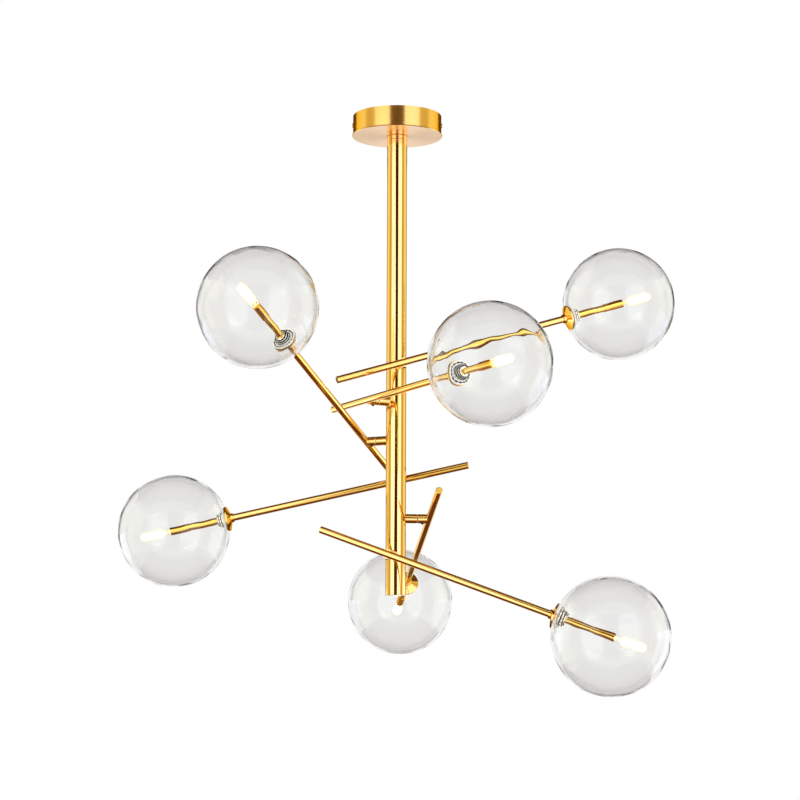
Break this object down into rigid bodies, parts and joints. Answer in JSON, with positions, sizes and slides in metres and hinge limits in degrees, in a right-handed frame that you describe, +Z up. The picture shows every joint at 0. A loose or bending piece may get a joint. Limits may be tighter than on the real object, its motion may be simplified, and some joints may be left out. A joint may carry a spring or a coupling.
{
  "type": "branch chandelier",
  "caption": "Ceiling chandelier: a stem under a round canopy carries tilting rods, each with a clear glass globe and capsule lamp at one end.",
  "frame": {"origin": "middle of the ceiling bracket's upper face, in the ceiling plane and on the stem's axis", "axes": "+X to the right in the picture, +Y away from whoever looks at the front, +Z up; the chandelier hangs below the origin"},
  "size_m": [0.7937, 0.7886, 0.8204],
  "materials": {
    "brass": "polished",
    "bracket_steel": "zinc plated",
    "nut_chrome": "polished",
    "block_plastic": "matte",
    "washer_plastic": "matte",
    "clear_rubber": "clear silicone",
    "globe_glass": "clear",
    "bulb_glass": "clear, lit"
  },
  "bodies": {
    "frame": {"ceiling_bracket": "bracket_steel", "canopy": "brass", "canopy_screws": "brass", "terminal_block": "block_plastic", "stem_nipple": "bracket_steel", "nipple_nut": "bracket_steel", "stem_collar": "brass", "stem": "brass", "stem_end_cap": "brass", "pivot_bosses": "brass", "pivot_pins": "bracket_steel", "pivot_washers": "washer_plastic"},
    "arm_1": {"swivel_1": "brass", "rod_1": "brass", "cup_1": "brass", "seals_1": "clear_rubber", "ring_nut_1": "nut_chrome", "globe_1": "globe_glass", "holder_1": "brass", "bulb_1": "bulb_glass"},
    "arm_2": {"swivel_2": "brass", "rod_2": "brass", "cup_2": "brass", "seals_2": "clear_rubber", "ring_nut_2": "nut_chrome", "globe_2": "globe_glass", "holder_2": "brass", "bulb_2": "bulb_glass"},
    "arm_3": {"swivel_3": "brass", "rod_3": "brass", "cup_3": "brass", "seals_3": "clear_rubber", "ring_nut_3": "nut_chrome", "globe_3": "globe_glass", "holder_3": "brass", "bulb_3": "bulb_glass"},
    "arm_4": {"swivel_4": "brass", "rod_4": "brass", "cup_4": "brass", "seals_4": "clear_rubber", "ring_nut_4": "nut_chrome", "globe_4": "globe_glass", "holder_4": "brass", "bulb_4": "bulb_glass"},
    "arm_5": {"swivel_5": "brass", "rod_5": "brass", "cup_5": "brass", "seals_5": "clear_rubber", "ring_nut_5": "nut_chrome", "globe_5": "globe_glass", "holder_5": "brass", "bulb_5": "bulb_glass"},
    "arm_6": {"swivel_6": "brass", "rod_6": "brass", "cup_6": "brass", "seals_6": "clear_rubber", "ring_nut_6": "nut_chrome", "globe_6": "globe_glass", "holder_6": "brass", "bulb_6": "bulb_glass"}
  },
  "joints": [
    {"name": "arm_1_tilt", "type": "hinge", "parent": "frame", "child": "arm_1", "pos_m": [0.01185, -0.04548, -0.361], "axis": [0.2521, -0.9677, 0], "range_deg": [-50, 14]},
    {"name": "arm_2_tilt", "type": "hinge", "parent": "frame", "child": "arm_2", "pos_m": [-0.04115, -0.02271, -0.4115], "axis": [-0.8755, -0.4833, 0], "range_deg": [-50, 14]},
    {"name": "arm_3_tilt", "type": "hinge", "parent": "frame", "child": "arm_3", "pos_m": [-0.04154, 0.02199, -0.465], "axis": [-0.8838, 0.4679, 0], "range_deg": [-50, 4]},
    {"name": "arm_4_tilt", "type": "hinge", "parent": "frame", "child": "arm_4", "pos_m": [0.00442, 0.04679, -0.5175], "axis": [0.0941, 0.9956, 0], "range_deg": [-50, 30]},
    {"name": "arm_5_tilt", "type": "hinge", "parent": "frame", "child": "arm_5", "pos_m": [0.04663, 0.00589, -0.575], "axis": [0.9921, 0.1253, 0], "range_deg": [-50, 30]},
    {"name": "arm_6_tilt", "type": "hinge", "parent": "frame", "child": "arm_6", "pos_m": [-0.01288, -0.0452, -0.627], "axis": [-0.274, -0.9617, 0], "range_deg": [-50, 30]}
  ]
}
